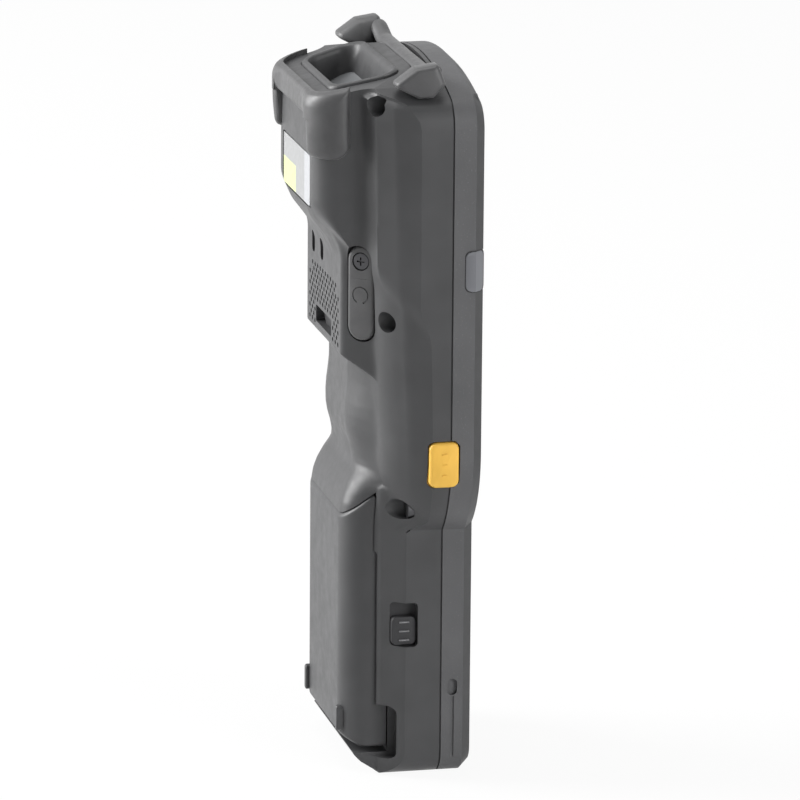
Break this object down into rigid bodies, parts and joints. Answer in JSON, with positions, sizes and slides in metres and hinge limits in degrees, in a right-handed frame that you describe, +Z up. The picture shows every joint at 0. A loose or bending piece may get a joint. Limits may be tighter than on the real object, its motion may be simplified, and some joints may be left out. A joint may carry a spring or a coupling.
{
  "type": "portable barcode data terminal",
  "caption": "Upright hand-held barcode data terminal with a keypad front, a scan window in its leaning top, rubber corner guards and a lift-off battery.",
  "frame": {"origin": "middle of the bounding box's lower face, on the surface that the terminal stands on", "axes": "+Z up the terminal's long axis, -Y out of the keypad side, +Y out of the battery side"},
  "size_m": [0.083, 0.045, 0.19],
  "materials": {
    "alloy": "cast",
    "amber": "amber key plastic",
    "board": "circuit board",
    "bumper_rubber": "soft matte",
    "cell_wrap": "wrapped cell",
    "cover_rubber": "soft matte",
    "dark_plastic": "dark moulded",
    "display": "panel",
    "display_glass": "touch glass",
    "gold": "plated",
    "housing": "moulded, finely grained",
    "housing_fine": "moulded, sparkle grain",
    "key_plastic": "keycap",
    "label": "blank film",
    "lens": "frosted light guide",
    "mat_rubber": "silicone",
    "scan_glass": "clear, coated",
    "screw_steel": "blackened",
    "tin": "tinned"
  },
  "bodies": {
    "terminal": {"backup_cell": "tin", "battery_contacts": "dark_plastic", "display_module": "display", "display_window": "display_glass", "dock_connector": "dark_plastic", "front_bumper": "bumper_rubber", "front_housing": "housing_fine", "housing_screws": "screw_steel", "inner_frame": "alloy", "jack_cover_anchor": "cover_rubber", "jack_cover_screw": "screw_steel", "jack_socket": "dark_plastic", "keypad_board": "board", "keypad_mat": "mat_rubber", "label_plate": "label", "left_status_lens": "lens", "main_board": "board", "microphone": "tin", "processor_shield": "tin", "rear_bumper": "bumper_rubber", "rear_housing": "housing", "right_status_lens": "lens", "scan_bezel": "housing", "scan_engine": "dark_plastic", "scan_window": "scan_glass", "side_switches": "dark_plastic", "speaker": "dark_plastic"},
    "battery": {"battery_case": "housing", "battery_cell": "cell_wrap", "battery_cover": "housing", "battery_terminals": "gold"},
    "jack_flap": {"jack_cover_flap": "cover_rubber"},
    "left_scan_key_body": {"left_scan_key": "amber"},
    "right_scan_key_body": {"right_scan_key": "amber"},
    "left_latch_body": {"left_latch": "dark_plastic"},
    "right_latch_body": {"right_latch": "dark_plastic"},
    "key_0_body": {"key_0": "key_plastic"},
    "key_1_body": {"key_1": "key_plastic"},
    "key_2_body": {"key_2": "key_plastic"},
    "key_3_body": {"key_3": "key_plastic"},
    "key_4_body": {"key_4": "key_plastic"},
    "key_5_body": {"key_5": "key_plastic"},
    "key_6_body": {"key_6": "key_plastic"},
    "key_7_body": {"key_7": "key_plastic"},
    "key_8_body": {"key_8": "key_plastic"},
    "key_9_body": {"key_9": "key_plastic"},
    "key_clear_body": {"key_clear": "key_plastic"},
    "key_down_body": {"key_down": "key_plastic"},
    "key_enter_body": {"key_enter": "key_plastic"},
    "key_escape_body": {"key_escape": "key_plastic"},
    "key_left_body": {"key_left": "key_plastic"},
    "key_power_body": {"key_power": "key_plastic"},
    "key_right_body": {"key_right": "key_plastic"},
    "key_scan_body": {"key_scan": "amber"},
    "key_shift_body": {"key_shift": "key_plastic"},
    "key_up_body": {"key_up": "key_plastic"}
  },
  "joints": [
    {"name": "battery_swing", "type": "hinge", "parent": "terminal", "child": "battery", "pos_m": [0, 0.0122, 0.0683], "axis": [1, 0, 0], "range_deg": [0, 25]},
    {"name": "jack_flap_hinge", "type": "hinge", "parent": "terminal", "child": "jack_flap", "pos_m": [-0.02503, 0.00846, 0.13225], "axis": [0.6115, 0.7912, 0], "range_deg": [0, 110], "stiffness_Nm_per_rad": 0.003},
    {"name": "left_scan_key_press", "type": "slide", "parent": "terminal", "child": "left_scan_key_body", "axis": [1, 0, 0], "range_m": [0, 0.0007], "stiffness_N_per_m": 900, "springref_m": -0.0004},
    {"name": "left_latch_slide", "type": "slide", "parent": "terminal", "child": "left_latch_body", "axis": [0, 0, 1], "range_m": [0, 0.0036], "stiffness_N_per_m": 250, "springref_m": -0.001},
    {"name": "right_scan_key_press", "type": "slide", "parent": "terminal", "child": "right_scan_key_body", "axis": [-1, 0, 0], "range_m": [0, 0.0007], "stiffness_N_per_m": 900, "springref_m": -0.0004},
    {"name": "right_latch_slide", "type": "slide", "parent": "terminal", "child": "right_latch_body", "axis": [0, 0, 1], "range_m": [0, 0.0036], "stiffness_N_per_m": 250, "springref_m": -0.001},
    {"name": "key_0_press", "type": "slide", "parent": "terminal", "child": "key_0_body", "axis": [0, 1, 0], "range_m": [0, 0.0007], "stiffness_N_per_m": 800, "springref_m": -0.0004},
    {"name": "key_1_press", "type": "slide", "parent": "terminal", "child": "key_1_body", "axis": [0, 1, 0], "range_m": [0, 0.0007], "stiffness_N_per_m": 800, "springref_m": -0.0004},
    {"name": "key_2_press", "type": "slide", "parent": "terminal", "child": "key_2_body", "axis": [0, 1, 0], "range_m": [0, 0.0007], "stiffness_N_per_m": 800, "springref_m": -0.0004},
    {"name": "key_3_press", "type": "slide", "parent": "terminal", "child": "key_3_body", "axis": [0, 1, 0], "range_m": [0, 0.0007], "stiffness_N_per_m": 800, "springref_m": -0.0004},
    {"name": "key_4_press", "type": "slide", "parent": "terminal", "child": "key_4_body", "axis": [0, 1, 0], "range_m": [0, 0.0007], "stiffness_N_per_m": 800, "springref_m": -0.0004},
    {"name": "key_5_press", "type": "slide", "parent": "terminal", "child": "key_5_body", "axis": [0, 1, 0], "range_m": [0, 0.0007], "stiffness_N_per_m": 800, "springref_m": -0.0004},
    {"name": "key_6_press", "type": "slide", "parent": "terminal", "child": "key_6_body", "axis": [0, 1, 0], "range_m": [0, 0.0007], "stiffness_N_per_m": 800, "springref_m": -0.0004},
    {"name": "key_7_press", "type": "slide", "parent": "terminal", "child": "key_7_body", "axis": [0, 1, 0], "range_m": [0, 0.0007], "stiffness_N_per_m": 800, "springref_m": -0.0004},
    {"name": "key_8_press", "type": "slide", "parent": "terminal", "child": "key_8_body", "axis": [0, 1, 0], "range_m": [0, 0.0007], "stiffness_N_per_m": 800, "springref_m": -0.0004},
    {"name": "key_9_press", "type": "slide", "parent": "terminal", "child": "key_9_body", "axis": [0, 1, 0], "range_m": [0, 0.0007], "stiffness_N_per_m": 800, "springref_m": -0.0004},
    {"name": "key_clear_press", "type": "slide", "parent": "terminal", "child": "key_clear_body", "axis": [0, 1, 0], "range_m": [0, 0.0007], "stiffness_N_per_m": 800, "springref_m": -0.0004},
    {"name": "key_down_press", "type": "slide", "parent": "terminal", "child": "key_down_body", "axis": [0, 1, 0], "range_m": [0, 0.0007], "stiffness_N_per_m": 800, "springref_m": -0.0004},
    {"name": "key_enter_press", "type": "slide", "parent": "terminal", "child": "key_enter_body", "axis": [0, 1, 0], "range_m": [0, 0.0007], "stiffness_N_per_m": 800, "springref_m": -0.0004},
    {"name": "key_escape_press", "type": "slide", "parent": "terminal", "child": "key_escape_body", "axis": [0, 1, 0], "range_m": [0, 0.0007], "stiffness_N_per_m": 800, "springref_m": -0.0004},
    {"name": "key_left_press", "type": "slide", "parent": "terminal", "child": "key_left_body", "axis": [0, 1, 0], "range_m": [0, 0.0007], "stiffness_N_per_m": 800, "springref_m": -0.0004},
    {"name": "key_power_press", "type": "slide", "parent": "terminal", "child": "key_power_body", "axis": [0, 1, 0], "range_m": [0, 0.0007], "stiffness_N_per_m": 800, "springref_m": -0.0004},
    {"name": "key_right_press", "type": "slide", "parent": "terminal", "child": "key_right_body", "axis": [0, 1, 0], "range_m": [0, 0.0007], "stiffness_N_per_m": 800, "springref_m": -0.0004},
    {"name": "key_scan_press", "type": "slide", "parent": "terminal", "child": "key_scan_body", "axis": [0, 1, 0], "range_m": [0, 0.0007], "stiffness_N_per_m": 800, "springref_m": -0.0004},
    {"name": "key_shift_press", "type": "slide", "parent": "terminal", "child": "key_shift_body", "axis": [0, 1, 0], "range_m": [0, 0.0007], "stiffness_N_per_m": 800, "springref_m": -0.0004},
    {"name": "key_up_press", "type": "slide", "parent": "terminal", "child": "key_up_body", "axis": [0, 1, 0], "range_m": [0, 0.0007], "stiffness_N_per_m": 800, "springref_m": -0.0004}
  ]
}
